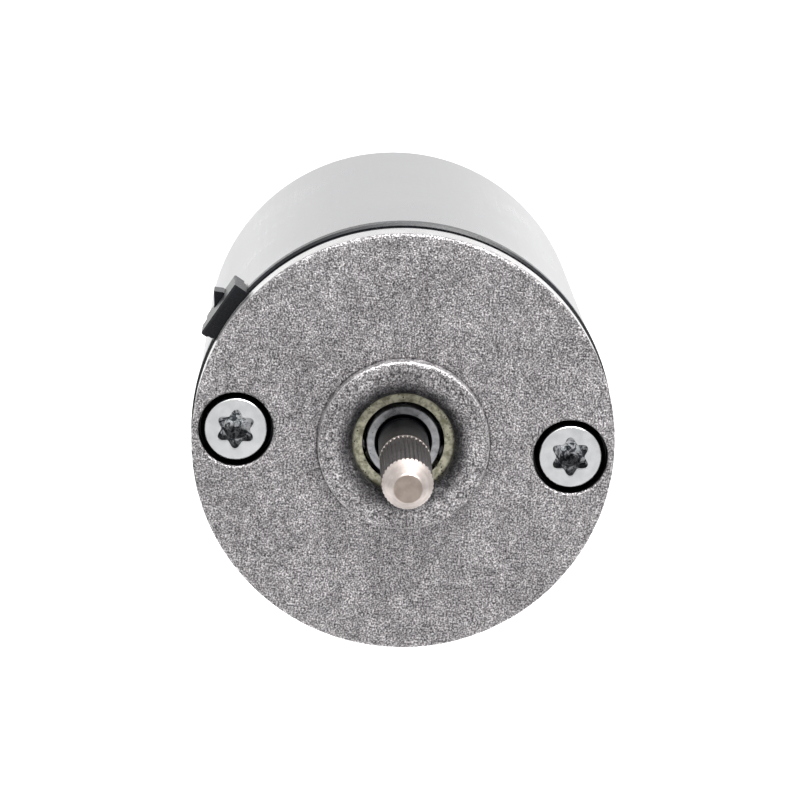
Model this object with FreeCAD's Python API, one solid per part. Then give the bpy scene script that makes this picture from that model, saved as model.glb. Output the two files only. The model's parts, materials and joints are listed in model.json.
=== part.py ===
"""Round inline gearmotor, 42 mm in diameter: a brushed permanent-magnet motor and one planetary gear stage in a
drawn steel can, closed by a die-cast front cover that carries the output shaft in a shielded ball bearing.

Frame: the shaft axis is Y. The output shaft points to -Y and the motor lies behind the front face on +Y. The two
cover screws lie on the X axis. Z is up. The origin is on the shaft axis, in the plane of the cover's front face.
All sizes are millimetres.
"""
import FreeCAD, Part
import os
import math
from FreeCAD import Vector as V

os.makedirs("parts", exist_ok=True)

# ---------------------------------------------------------------- driving dimensions
R_BODY = 21.0            # radius of the cover and of the can
Y_COVER_RIM = 3.6        # the cover's visible side wall ends here
Y_RING_END = 7.3         # the black ring of the gear housing ends and the can begins
Y_CAN_END = 59.5         # rear face of the can
CAN_WALL = 1.5
R_RING = 21.2            # the black ring's lip stands slightly proud
R_RING_GROOVE, Y_LIP = 20.8, 5.5
R_SPIGOT = 19.0          # cover's spigot inside the black ring
Y_SPIGOT = 6.0

BOSS_R, BOSS_H = 8.5, 1.4        # raised boss around the shaft
OPENING_R = 5.1                 # hole in the boss in front of the bearing

SCREW_R_PITCH = 16.65            # cover screws, on the X axis
SCREW_HEAD_R, SCREW_FLAT_R, SCREW_HEAD_H = 3.5, 3.06, 2.3
COUNTERBORE_R, COUNTERBORE_D = 3.7, 2.5
SCREW_R = 1.95                   # M4 shank
SCREW_HOLE_R = 2.2

# output bearing: 5 x 16 x 5 deep-groove, metal shields
BRG_Y0, BRG_W = 0.5, 5.0
BRG_ID_R, BRG_OD_R = 2.5, 8.0
BRG_PITCH_R, BALL_R, N_BALLS = 5.25, 1.70, 7
BRG_IN_LAND, BRG_OUT_LAND = 3.66, 6.78

# output shaft
SHAFT_R = 2.5
SHAFT_TIP = -19.8
SHAFT_CHAMFER_START, SHAFT_TIP_R = -17.6, 1.5
SERRATION_START = -7.5
SERRATION_N, SERRATION_ROOT_R = 36, 2.37
SERRATION_CREST_R = 2.47        # at the tip end; the crests rise to the shaft radius at the inner end

# planetary stage
MODULE, ALPHA = 0.6, math.radians(25)
Z_SUN, Z_PLANET, Z_RING = 12, 15, 42
CENTRE_D = MODULE * (Z_SUN + Z_PLANET) / 2.0
THIN = 0.045             # each flank is this much thinner than nominal, for backlash
PLANET_ANGLES = [90.0, 210.0, 330.0]
GEAR_Y0, GEAR_Y1 = 8.9, 14.1
CARRIER_Y0, CARRIER_Y1, CARRIER_R = 6.4, 8.6, 11.2
PIN_R, PLANET_BORE_R = 1.25, 1.29

# motor
MOTOR_SHAFT_R = 2.0
BULKHEAD_Y0, BULKHEAD_Y1 = 14.6, 17.0
CARD_Y0, CARD_Y1 = 18.6, 20.2
COMM_R, COMM_Y0, COMM_Y1 = 6.5, 20.6, 27.6
CORE_R, CORE_Y0, CORE_Y1 = 13.2, 32.0, 49.5
MAGNET_RI, MAGNET_RO, MAGNET_Y0, MAGNET_Y1 = 13.8, 19.45, 30.5, 52.0
N_SLOTS = 5

# terminal lug
LUG_ANGLE = 150.25
LUG_W, LUG_R, LUG_Y0, LUG_Y1 = 6.0, 22.36, 4.5, 8.6
SHROUD_Y1 = 12.6

YAX = V(0, 1, 0)


# ---------------------------------------------------------------- helpers
def cyl(r, y0, y1, x=0.0, z=0.0):
    return Part.makeCylinder(r, y1 - y0, V(x, y0, z), YAX)


def tube(r0, r1, y0, y1):
    return cyl(r1, y0, y1).cut(cyl(r0, y0 - 1, y1 + 1))


def wire_of(points):
    """points are (a, b) or ('arc', (am, bm), (a, b)), in the XY plane; closes itself."""
    edges, here = [], V(points[0][0], points[0][1], 0)
    start = here
    for p in points[1:]:
        if p[0] == "arc":
            mid, end = V(p[1][0], p[1][1], 0), V(p[2][0], p[2][1], 0)
            edges.append(Part.Arc(here, mid, end).toShape())
        else:
            end = V(p[0], p[1], 0)
            edges.append(Part.LineSegment(here, end).toShape())
        here = end
    if here.distanceToPoint(start) > 1e-9:
        edges.append(Part.LineSegment(here, start).toShape())
    return Part.Wire(edges)


def rev(points):
    """Full turn about the Y axis of a profile of (radius, y) points."""
    return Part.Face(wire_of(points)).revolve(V(0, 0, 0), YAX, 360)


def prism_y(points, y0, y1):
    """Extrudes a closed polygon of (x, z) points along Y."""
    ps = [V(x, y0, z) for x, z in points]
    return Part.Face(Part.makePolygon(ps + [ps[0]])).extrude(V(0, y1 - y0, 0))


def turn(shape, deg):
    """Turns a shape about the Y axis, anticlockwise as seen from the front (from -Y)."""
    s = shape.copy()
    s.rotate(V(0, 0, 0), YAX, -deg)
    return s


def polar(r, deg):
    return r * math.cos(math.radians(deg)), r * math.sin(math.radians(deg))


def fuse(shapes):
    out = shapes[0]
    for s in shapes[1:]:
        out = out.fuse(s)
    return out.removeSplitter()


def solid_of(shape):
    return shape.Solids[0] if len(shape.Solids) == 1 else Part.makeCompound(shape.Solids)


WRITTEN = {}


def put(name, shape):
    shape = solid_of(shape)
    assert shape.isValid(), name
    for s in shape.Solids:
        assert s.isClosed() and s.Volume > 0, name
    shape.exportStep("parts/%s.step" % name)
    WRITTEN[name] = shape
    return shape


# ---------------------------------------------------------------- involute profiles
def involute_points(z, r_in, r_out, thin, steps=9):
    """Closed outline of an external gear as (x, z) points, one tooth centred on +X."""
    r = MODULE * z / 2.0
    rb = r * math.cos(ALPHA)
    inv = lambda a: math.tan(a) - a
    half = (math.pi * MODULE / 2.0 - 2 * thin) / 2.0 / r + inv(ALPHA)
    pts = []
    for k in range(z):
        c = 2 * math.pi * k / z
        flank = []
        if r_in < rb:
            flank.append((r_in, half))
        lo = max(rb, r_in)
        for i in range(steps):
            ri = lo + (r_out - lo) * i / (steps - 1)
            flank.append((ri, half - inv(math.acos(min(1.0, rb / ri)))))
        for ri, h in flank:
            pts.append((ri, c - h))
        for ri, h in reversed(flank):
            pts.append((ri, c + h))
    return [(a * math.cos(t), a * math.sin(t)) for a, t in pts]


def place_points(points, deg, cx=0.0, cz=0.0):
    c, s = math.cos(math.radians(deg)), math.sin(math.radians(deg))
    return [(x * c - z * s + cx, x * s + z * c + cz) for x, z in points]


SUN_PHASE = 0.0


def planet_phase(phi):
    """Turn of a planet at phi, in degrees, that puts it in mesh with the sun."""
    ns = (phi - SUN_PHASE) * Z_SUN / 360.0
    need = 0.5 - ns
    return phi + 180.0 - need * 360.0 / Z_PLANET


def ring_phase():
    phi = PLANET_ANGLES[0]
    np2 = (phi - planet_phase(phi)) * Z_PLANET / 360.0
    return phi - (0.5 + np2) * 360.0 / Z_RING


# ---------------------------------------------------------------- front cover
def front_cover():
    e = 0.3
    k = e * (1 - math.sqrt(0.5))
    b = 0.40
    kb = b * (1 - math.sqrt(0.5))
    body = rev([
        (OPENING_R, BRG_Y0), (OPENING_R, -0.15),
        ("arc", (5.62, -1.05), (6.55, -BOSS_H)),
        (BOSS_R - b, -BOSS_H),
        ("arc", (BOSS_R - kb, -BOSS_H + kb), (BOSS_R, -BOSS_H + b)),
        (BOSS_R, -0.2), ("arc", (BOSS_R + 0.06, -0.06), (BOSS_R + 0.2, 0.0)),
        (R_BODY - e, 0.0), ("arc", (R_BODY - k, k), (R_BODY, e)),
        (R_BODY, Y_COVER_RIM), (R_SPIGOT, Y_COVER_RIM), (R_SPIGOT, Y_SPIGOT),
        (14.0, Y_SPIGOT), (14.0, 3.0), (10.3, 3.0), (10.3, 6.0),
        (BRG_OD_R, 6.0), (BRG_OD_R, BRG_Y0),
    ])
    for sx in (1, -1):
        x = sx * SCREW_R_PITCH
        body = body.cut(cyl(SCREW_HOLE_R, -1, 8, x))
        body = body.cut(cyl(COUNTERBORE_R, -1, COUNTERBORE_D, x))
        lead = Part.makeCone(COUNTERBORE_R + 0.12, COUNTERBORE_R, 0.12, V(x, 0, 0), YAX)
        body = body.cut(lead)
    return body


# ---------------------------------------------------------------- cover screws
def lobe_face(ra, rb, y, x0, phase):
    """Six-lobed outline in the plane y, lobe tips at radius ra."""
    pts = []
    n = 48
    for i in range(n):
        t = 2 * math.pi * i / n
        r = (ra + rb) / 2 + (ra - rb) / 2 * math.cos(6 * t)
        a = t + math.radians(phase)
        pts.append(V(x0 + r * math.cos(a), y, r * math.sin(a)))
    c = Part.BSplineCurve()
    c.interpolate(pts, PeriodicFlag=True)
    return Part.Face(Part.Wire([c.toShape()]))


def cover_screw(x, phase):
    top = 0.18
    yh = top + SCREW_HEAD_H
    s = rev([
        (0, top), (SCREW_FLAT_R - 0.06, top), (SCREW_FLAT_R, top + 0.05), ("arc", (SCREW_HEAD_R - 0.10, top + 0.5), (SCREW_HEAD_R, top + 1.1)),
        (SCREW_HEAD_R, yh), (SCREW_R, yh), (SCREW_R, Y_CAN_END - 0.9), (SCREW_R - 0.5, Y_CAN_END - 0.4),
        (0, Y_CAN_END - 0.4),
    ])
    s.translate(V(x, 0, 0))
    recess = lobe_face(1.96, 1.42, top - 0.1, x, phase).extrude(V(0, 1.5, 0))
    lead = Part.makeCone(2.02, 1.75, 0.18, V(x, top - 0.001, 0), YAX)
    bottom = Part.makeCone(1.42, 0.2, 0.5, V(x, top + 1.35, 0), YAX)
    recess = recess.fuse(bottom)
    ring = lobe_face(2.06, 1.52, top - 0.1, x, phase).extrude(V(0, 0.16, 0))
    return s.cut(recess).cut(ring)


# ---------------------------------------------------------------- output bearing
def bearing_outer():
    g = BALL_R + 0.05
    y0, y1, c = BRG_Y0, BRG_Y0 + BRG_W, 0.3
    s = rev([
        (BRG_OUT_LAND, y0 + 0.45), (7.05, y0 + 0.45), (7.05, y0), (BRG_OD_R - c, y0), (BRG_OD_R, y0 + c),
        (BRG_OD_R, y1 - c), (BRG_OD_R - c, y1), (7.05, y1), (7.05, y1 - 0.45), (BRG_OUT_LAND, y1 - 0.45),
    ])
    groove = Part.makeTorus(BRG_PITCH_R, g, V(0, (y0 + y1) / 2, 0), YAX)
    return s.cut(groove)


def bearing_inner():
    g = BALL_R + 0.05
    y0, y1, c = BRG_Y0, BRG_Y0 + BRG_W, 0.38
    s = rev([
        (BRG_ID_R, y0 + c), ("arc", (BRG_ID_R + 0.11, y0 + 0.11), (BRG_ID_R + c, y0)),
        (BRG_IN_LAND - 0.08, y0), (BRG_IN_LAND, y0 + 0.08),
        (BRG_IN_LAND, y1 - 0.08), (BRG_IN_LAND - 0.08, y1), (BRG_ID_R + c, y1),
        ("arc", (BRG_ID_R + 0.11, y1 - 0.11), (BRG_ID_R, y1 - c)),
    ])
    groove = Part.makeTorus(BRG_PITCH_R, g, V(0, (y0 + y1) / 2, 0), YAX)
    return s.cut(groove)


def bearing_shields():
    out = []
    for a, sgn in ((BRG_Y0, 1), (BRG_Y0 + BRG_W, -1)):
        p = [(4.1, a + sgn * 0.12), (6.6, a + sgn * 0.12), (7.03, a + sgn * 0.2), (7.03, a + sgn * 0.42),
             (6.4, a + sgn * 0.42), (6.3, a + sgn * 0.32), (4.45, a + sgn * 0.32), (4.3, a + sgn * 0.5), (4.1, a + sgn * 0.5)]
        out.append(rev(p))
    return Part.makeCompound(out)


def bearing_balls():
    y = BRG_Y0 + BRG_W / 2
    out = []
    for i in range(N_BALLS):
        x, z = polar(BRG_PITCH_R, 90 + 360.0 * i / N_BALLS)
        out.append(Part.makeSphere(BALL_R, V(x, y, z)))
    return Part.makeCompound(out)


def bearing_cage():
    y = BRG_Y0 + BRG_W / 2
    ring = tube(4.75, 5.75, y - 0.35, y + 0.35)
    cups = []
    for i in range(N_BALLS):
        x, z = polar(BRG_PITCH_R, 90 + 360.0 * i / N_BALLS)
        cup = Part.makeSphere(BALL_R + 0.32, V(x, y, z))
        cups.append(cup)
    band = tube(4.75, 5.75, y - 2.0, y + 2.0)
    shell = fuse([ring] + [c.common(band) for c in cups])
    for i in range(N_BALLS):
        x, z = polar(BRG_PITCH_R, 90 + 360.0 * i / N_BALLS)
        shell = shell.cut(Part.makeSphere(BALL_R + 0.04, V(x, y, z)))
    return shell


# ---------------------------------------------------------------- output shaft, carrier and planets
def output_shaft():
    core = rev([
        (0, SHAFT_TIP), (SHAFT_TIP_R - 0.15, SHAFT_TIP), (SHAFT_TIP_R, SHAFT_TIP + 0.12),
        (SERRATION_CREST_R, SHAFT_CHAMFER_START), (SHAFT_R, SERRATION_START), (SHAFT_R, -0.10), (SHAFT_R - 0.17, -0.05), (SHAFT_R - 0.17, 0.40), (SHAFT_R, 0.45), (SHAFT_R, CARRIER_Y1), (1.75, CARRIER_Y1), (1.75, 5.6), (0, 5.3),
    ])
    # V-grooves, each one running out on a slope at its inner end
    grooves = []
    for i in range(SERRATION_N):
        w = 360.0 / SERRATION_N
        d = SHAFT_R - SERRATION_ROOT_R
        hw = SHAFT_R * math.radians(w) * 0.38
        top = SHAFT_R + 0.12
        ht = hw * (top - SERRATION_ROOT_R) / d
        y0, y1, y2 = SHAFT_TIP - 1, SERRATION_START - 0.45, SERRATION_START
        a = [V(-ht, y0, top), V(0, y0, SERRATION_ROOT_R), V(ht, y0, top)]
        b = [V(-ht, y1, top), V(0, y1, SERRATION_ROOT_R), V(ht, y1, top)]
        base = Part.Face(Part.makePolygon(a + [a[0]])).extrude(V(0, y1 - y0, 0))
        slope = Part.makeLoft([Part.makePolygon(b + [b[0]]),
                               Part.makePolygon([V(-0.02, y2, top), V(0, y2, top - 0.02), V(0.02, y2, top), V(-0.02, y2, top)])], True)
        grooves.append((base, slope, i * w))
    cutter = []
    for base, slope, deg in grooves:
        cutter.append(turn(base, deg))
        cutter.append(turn(slope, deg))
    return core.cut(Part.makeCompound(cutter[0::2])).cut(Part.makeCompound(cutter[1::2]))


def planet_carrier():
    disc = rev([
        (SHAFT_R, BRG_Y0 + BRG_W + 0.05), (3.3, BRG_Y0 + BRG_W + 0.05), (3.3, CARRIER_Y0), (CARRIER_R - 0.3, CARRIER_Y0),
        (CARRIER_R, CARRIER_Y0 + 0.3), (CARRIER_R, CARRIER_Y1), (SHAFT_R, CARRIER_Y1),
    ])
    for a in PLANET_ANGLES:
        x, z = polar(CENTRE_D, a)
        disc = disc.cut(cyl(PIN_R, 0, 20, x, z))
        x, z = polar(CENTRE_D + 0.6, a + 60)
        disc = disc.cut(cyl(2.1, 0, 20, x, z))
    return disc


def planet_pins():
    out = []
    for a in PLANET_ANGLES:
        x, z = polar(CENTRE_D, a)
        p = rev([(0, CARRIER_Y0 + 0.02), (PIN_R, CARRIER_Y0 + 0.02), (PIN_R, GEAR_Y1 - 0.2), (PIN_R - 0.2, GEAR_Y1), (0, GEAR_Y1)])
        p.translate(V(x, 0, z))
        out.append(p)
    return Part.makeCompound(out)


def planet_gear(phi):
    x, z = polar(CENTRE_D, phi)
    pts = involute_points(Z_PLANET, MODULE * Z_PLANET / 2 - 0.75, MODULE * Z_PLANET / 2 + 0.57, THIN)
    g = prism_y(place_points(pts, planet_phase(phi), x, z), GEAR_Y0, GEAR_Y1)
    return g.cut(cyl(PLANET_BORE_R, GEAR_Y0 - 1, GEAR_Y1 + 1, x, z))


def sun_pinion():
    pts = involute_points(Z_SUN, MODULE * Z_SUN / 2 - 0.75, MODULE * Z_SUN / 2 + 0.57, THIN)
    g = prism_y(place_points(pts, SUN_PHASE), GEAR_Y0 + 0.1, GEAR_Y1 + 0.1)
    return g.cut(cyl(MOTOR_SHAFT_R, 0, 30))


# ---------------------------------------------------------------- terminals
TERM_W, TERM_T = 1.5, 0.4
TERM_OFF = 1.15
TERM_R, TERM_Y0 = 21.3, 6.6   # the blade lies above the can; the strip passes through the ring here


def terminal(sign):
    """Brass strip: blade outside the can, through the lug, forward inside the housing wall, then along the brush card."""
    hw = TERM_W / 2
    off = sign * TERM_OFF

    def bar(r0, r1, y0, y1):
        return Part.makeBox(r1 - r0, y1 - y0, TERM_W, V(r0, y0, off - hw))

    blade = bar(TERM_R, TERM_R + TERM_T, TERM_Y0, 16.2)
    blade = blade.cut(Part.makeCylinder(0.42, 3, V(21, 14.6, off), V(1, 0, 0)))
    radial = bar(18.0, TERM_R + TERM_T, TERM_Y0, TERM_Y0 + TERM_T)
    inner = bar(18.0, 18.0 + TERM_T, TERM_Y0, CARD_Y1 + 0.5)
    foot = bar(12.8, 18.0 + TERM_T, CARD_Y1, CARD_Y1 + 0.5)
    parts = [turn(p, LUG_ANGLE) for p in (blade, radial, inner, foot)]
    a_foot = LUG_ANGLE + math.degrees(math.asin(off / 13.2))
    if sign < 0:
        a0, a1 = 102.0, a_foot + 1.5
    else:
        a0, a1 = a_foot - 1.5, 258.0
    n = 24
    outer = [polar(13.8, a0 + (a1 - a0) * i / n) for i in range(n + 1)]
    innr = [polar(12.6, a1 - (a1 - a0) * i / n) for i in range(n + 1)]
    arc = prism_y(outer + innr, CARD_Y1, CARD_Y1 + 0.5)
    return fuse(parts + [arc])


# ---------------------------------------------------------------- gear housing: black ring, lug, ring gear, bulkhead
def gear_housing(terms):
    c = 0.25
    body = rev([
        (R_SPIGOT + 0.05, Y_COVER_RIM), (R_RING_GROOVE, Y_COVER_RIM), (R_RING_GROOVE, Y_LIP), (R_RING - c, Y_LIP), (R_RING, Y_LIP + c),
        (R_RING, Y_RING_END - c), (R_RING - c, Y_RING_END), (19.35, Y_RING_END),
        (19.35, CARD_Y0), (17.4, CARD_Y0), (17.4, BULKHEAD_Y1),
        (6.5, BULKHEAD_Y1), (6.5, 18.4), (4.0, 18.4), (4.0, BULKHEAD_Y0),
        (13.45, BULKHEAD_Y0), (13.45, Y_SPIGOT), (R_SPIGOT + 0.05, Y_SPIGOT),
    ])
    # ring gear teeth
    pts = involute_points(Z_RING, 12.02, 13.32, -THIN)
    space = prism_y(place_points(pts, ring_phase() + 180.0 / Z_RING), 7.9, 15.0)
    teeth = tube(11.0, 13.7, 8.3, 14.7).cut(space)
    tip = cyl(12.03, 8.0, 15.0)
    teeth = teeth.cut(tip)
    body = body.fuse(teeth)
    # lug with its rear shroud and a locking wedge
    q = 0.10

    def slab(r0, y0, y1, w, top, q=q):
        """Block on the radius axis with bevelled outer edges."""
        h = w / 2
        ps = [V(r0, y0, -h), V(top - q, y0, -h), V(top, y0, -h + q), V(top, y0, h - q), V(top - q, y0, h), V(r0, y0, h)]
        return Part.Face(Part.makePolygon(ps + [ps[0]])).extrude(V(0, y1 - y0, 0))

    lug = slab(19.6, LUG_Y0, Y_RING_END, LUG_W, LUG_R)
    over = slab(21.12, LUG_Y0 + 1, LUG_Y1, LUG_W, LUG_R)
    # a bevel along the front edge, and a nick at the lower end
    wp = [V(LUG_R - 0.2, LUG_Y0 - 0.01, -5), V(LUG_R + 0.1, LUG_Y0 - 0.01, -5), V(LUG_R + 0.1, LUG_Y0 + 0.29, -5)]
    bevel = Part.Face(Part.makePolygon(wp + [wp[0]])).extrude(V(0, 0, 10))
    lug = lug.cut(bevel)
    np_ = [V(21.25, LUG_Y0 - 0.1, LUG_W / 2 + 0.1), V(21.95, LUG_Y0 - 0.1, LUG_W / 2 + 0.1), V(21.05, LUG_Y0 - 0.1, LUG_W / 2 - 0.45), V(20.9, LUG_Y0 - 0.1, LUG_W / 2 + 0.1)]
    nick = Part.Face(Part.makePolygon([np_[3], np_[1], np_[2], np_[3]])).extrude(V(0, 1.5, 0))
    lug = lug.cut(nick)
    shroud = slab(21.12, LUG_Y1 - 0.1, SHROUD_Y1, LUG_W - 0.9, LUG_R - 0.1)
    # the wedge's steep side faces the top
    wp = [V(LUG_R - 0.4, 9.2, -0.95), V(LUG_R + 0.2, 9.2, -0.9), V(LUG_R + 1.0, 9.2, -0.5), V(LUG_R - 0.08, 9.2, 1.0), V(LUG_R - 0.4, 9.2, 1.0)]
    wedge = Part.Face(Part.makePolygon(wp + [wp[0]])).extrude(V(0, 2.6, 0))
    for p in (lug, over, shroud, wedge):
        body = body.fuse(turn(p, LUG_ANGLE))
    body = body.removeSplitter()
    for sx in (1, -1):
        body = body.cut(cyl(SCREW_HOLE_R, 0, 30, sx * SCREW_R_PITCH))
    for a in (60.0, 240.0):
        x, z = polar(16.0, a)
        body = body.cut(cyl(0.8, 14.9, 25, x, z))
    for t in terms:
        body = body.cut(t)
    return body


# ---------------------------------------------------------------- motor can
def motor_can():
    e = 1.4
    k = e * (1 - math.sqrt(0.5))
    ei = 0.8
    ki = ei * (1 - math.sqrt(0.5))
    ri = R_BODY - CAN_WALL
    yi = Y_CAN_END - CAN_WALL
    s = rev([
        (ri, Y_RING_END + 0.05), (R_BODY - 0.2, Y_RING_END + 0.05), (R_BODY, Y_RING_END + 0.25),
        (R_BODY, Y_CAN_END - e), ("arc", (R_BODY - k, Y_CAN_END - k), (R_BODY - e, Y_CAN_END)),
        (8.9, Y_CAN_END), ("arc", (8.3, Y_CAN_END + 0.25), (8.0, Y_CAN_END + 0.8)), (8.0, Y_CAN_END + 1.7),
        ("arc", (7.75, Y_CAN_END + 2.25), (7.2, Y_CAN_END + 2.5)), (0, Y_CAN_END + 2.5),
        (0, Y_CAN_END + 1.3), (6.5, Y_CAN_END + 1.3), (6.5, yi), (ri - ei, yi),
        ("arc", (ri - ki, yi - ki), (ri, yi - ei)),
    ])
    for sx in (1, -1):
        x = sx * SCREW_R_PITCH
        s = s.fuse(cyl(3.1, yi - 2.2, yi + 0.5, x).common(cyl(ri + 0.2, 0, 80)))
    s = s.removeSplitter()
    for sx in (1, -1):
        s = s.cut(cyl(SCREW_R + 0.05, 40, 70, sx * SCREW_R_PITCH))
    return s


# ---------------------------------------------------------------- motor internals
def magnet(centre):
    half = 66.0
    n = 40
    outer = [polar(MAGNET_RO, centre - half + 2 * half * i / n) for i in range(n + 1)]
    inner = [polar(MAGNET_RI, centre + half - 2 * half * i / n) for i in range(n + 1)]
    w = tube(MAGNET_RI, MAGNET_RO, MAGNET_Y0, MAGNET_Y1)
    wedge_pts = [(0, 0)] + [polar(30, centre - half + 2 * half * i / 8) for i in range(9)]
    return w.common(prism_y(wedge_pts, MAGNET_Y0 - 1, MAGNET_Y1 + 1))


def brush_card():
    s = tube(7.4, 19.2, CARD_Y0, CARD_Y1)
    for sx in (1, -1):
        s = s.cut(cyl(SCREW_HOLE_R, 0, 30, sx * SCREW_R_PITCH))
    for sign in (-1, 1):
        slot = Part.makeBox(2.0, 10, TERM_W + 0.2, V(17.8, CARD_Y0 - 2, sign * TERM_OFF - TERM_W / 2 - 0.1))
        s = s.cut(turn(slot, LUG_ANGLE))
    for a in (60.0, 240.0):
        x, z = polar(16.0, a)
        s = s.cut(cyl(1.15, 0, 30, x, z))
    return s


def brush_card_screws():
    out = []
    for a in (60.0, 240.0):
        x, z = polar(16.0, a)
        s = rev([(0, CARD_Y1 + 0.9), (1.2, CARD_Y1 + 0.9), (1.9, CARD_Y1 + 0.4), (1.9, CARD_Y1 + 0.01), (0.75, CARD_Y1 + 0.01),
                 (0.75, 15.6), (0.2, 15.0), (0, 15.0)])
        slot = Part.makeBox(3.2, 0.5, 0.4, V(-1.6, CARD_Y1 + 0.55, -0.2))
        s = s.cut(slot)
        s.translate(V(x, 0, z))
        out.append(s)
    return Part.makeCompound(out)


BR_X, BR_Y0, BR_Y1, BR_TOP = 2.0, 20.9, 26.9, 13.2


def brush_holder():
    box = Part.makeBox(5.2, 7.2, 9.6, V(-2.6, CARD_Y1 + 0.02, 8.0))
    hole = Part.makeBox(2 * BR_X + 0.1, BR_Y1 - BR_Y0 + 0.1, 20, V(-BR_X - 0.05, BR_Y0 - 0.05, 0))
    hole = hole.common(Part.makeBox(10, 20, 17.1, V(-5, 15, 0)))
    return box.cut(hole)


def brush():
    b = Part.makeBox(2 * BR_X, BR_Y1 - BR_Y0, BR_TOP - 4, V(-BR_X, BR_Y0, 4))
    return b.cut(cyl(COMM_R + 0.05, 10, 40))


def brush_spring():
    r, w = 1.45, 0.2
    z0, z1 = BR_TOP + w + 0.02, 17.1 - w - 0.02
    helix = Part.makeHelix((z1 - z0) / 4.0, z1 - z0, r)
    q = 0.9 * w
    sq = Part.makePolygon([V(r - q, 0, -q), V(r + q, 0, -q), V(r + q, 0, q), V(r - q, 0, q), V(r - q, 0, -q)])
    pipe = Part.Wire(helix.Edges).makePipeShell([sq], True, True)
    pipe.translate(V(0, (BR_Y0 + BR_Y1) / 2, z0))
    return pipe


def mirrored_z(shape):
    s = shape.copy()
    s.rotate(V(0, 0, 0), YAX, 180)
    return s


def commutator_segments():
    ring = tube(4.6, COMM_R, COMM_Y0, COMM_Y1).fuse(tube(4.6, 7.5, COMM_Y1 - 0.001, COMM_Y1 + 1.0)).removeSplitter()
    for i in range(N_SLOTS):
        slot = Part.makeBox(12, 20, 0.5, V(0, COMM_Y0 - 5, -0.25))
        ring = ring.cut(turn(slot, 90 + 36 + 72 * i))
    return ring


def commutator_hub():
    return tube(MOTOR_SHAFT_R, 4.58, COMM_Y0 - 0.3, COMM_Y1 + 1.1)


def pole_points():
    """One T-shaped pole on +Z, as (x, z)."""
    hw, tip_half = 2.3, 36.0 - 5.5
    pts = [(-hw, 3.0), (-hw, 10.9)]
    x, z = polar(11.6, 90 + tip_half)
    pts.append((x, z))
    n = 12
    for i in range(n + 1):
        pts.append(polar(CORE_R, 90 + tip_half - 2 * tip_half * i / n))
    x, z = polar(11.6, 90 - tip_half)
    pts.append((x, z))
    pts += [(hw, 10.9), (hw, 3.0)]
    return pts


def core_shape(y0, y1, grow=0.0):
    hub = cyl(5.6, y0, y1)
    poles = [turn(prism_y(pole_points(), y0, y1), 72.0 * i) for i in range(N_SLOTS)]
    s = fuse([hub] + poles)
    s = s.common(cyl(CORE_R + grow, y0 - 1, y1 + 1))
    return s.cut(cyl(MOTOR_SHAFT_R, 0, 80))


def armature_windings():
    y0, y1 = CORE_Y0 - 0.8, CORE_Y1 + 0.8
    over = 2.3
    out = []
    for i in range(N_SLOTS):
        hw, t = 2.32, 2.0
        z0, z1 = 6.55, 10.25
        outer = Part.makeBox(2 * (hw + t), y1 - y0 + 2 * over, z1 - z0, V(-hw - t, y0 - over, z0))
        es = [e for e in outer.Edges if abs(e.Vertexes[0].Z - e.Vertexes[1].Z) > 1]
        outer = outer.makeFillet(1.7, es)
        inner = Part.makeBox(2 * hw, y1 - y0 + 0.02, z1 - z0 + 2, V(-hw, y0 - 0.01, z0 - 1))
        c = outer.cut(inner)
        # keep clear of the neighbouring coil near the hub
        wedge = prism_y([(0, 0), polar(30, 90 + 35.0), polar(30, 90 - 35.0)], y0 - 10, y1 + 10)
        c = c.common(wedge)
        out.append(turn(c, 72.0 * i))
    return Part.makeCompound([s for c in out for s in c.Solids])


def motor_shaft():
    return rev([
        (0, 6.0), (0.8, 6.0), (1.0, 6.2), (1.0, 8.75), (MOTOR_SHAFT_R - 0.2, 8.75), (MOTOR_SHAFT_R, 8.95),
        (MOTOR_SHAFT_R, 60.0), (MOTOR_SHAFT_R - 0.4, 60.4), (0, 60.4),
    ])


def rear_bush():
    y0, y1 = 56.0, 60.4
    m = (y0 + y1) / 2
    return rev([
        (MOTOR_SHAFT_R + 0.02, y0), (4.6, y0), ("arc", (6.4, m), (4.6, y1)), (MOTOR_SHAFT_R + 0.02, y1),
    ])


def rear_bush_clip():
    """Pressed spring plate that holds the rear bush in its pocket."""
    ring = rev([(4.75, 55.4), (9.6, 55.4), (10.4, 56.0), (10.4, 57.98), (9.9, 57.98), (9.9, 56.2), (9.4, 55.9), (4.75, 55.9)])
    for i in range(6):
        slot = Part.makeBox(2.4, 3, 0.9, V(4.0, 54.5, -0.45))
        ring = ring.cut(turn(slot, 60.0 * i))
    return ring


# ---------------------------------------------------------------- build
t_pos, t_neg = terminal(-1), terminal(1)
put("front_cover", front_cover())
put("cover_screws", Part.makeCompound([cover_screw(SCREW_R_PITCH, 95.0), cover_screw(-SCREW_R_PITCH, 92.0)]))
put("gear_housing", gear_housing([t_pos, t_neg]))
put("motor_can", motor_can())
put("terminal_positive", t_pos)
put("terminal_negative", t_neg)

put("output_bearing_outer_ring", bearing_outer())
put("output_bearing_inner_ring", bearing_inner())
put("output_bearing_shields", bearing_shields())
put("output_bearing_balls", bearing_balls())
put("output_bearing_cage", bearing_cage())

put("output_shaft", output_shaft())
put("planet_carrier", planet_carrier())
put("planet_pins", planet_pins())
put("pilot_bush", tube(1.03, 1.75, 5.7, CARRIER_Y1))
for i, a in enumerate(PLANET_ANGLES):
    put("planet_gear_%d" % (i + 1), planet_gear(a))
put("planet_thrust_washer", tube(4.3, 11.6, GEAR_Y1 + 0.15, GEAR_Y1 + 0.45))
put("sun_pinion", sun_pinion())

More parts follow.
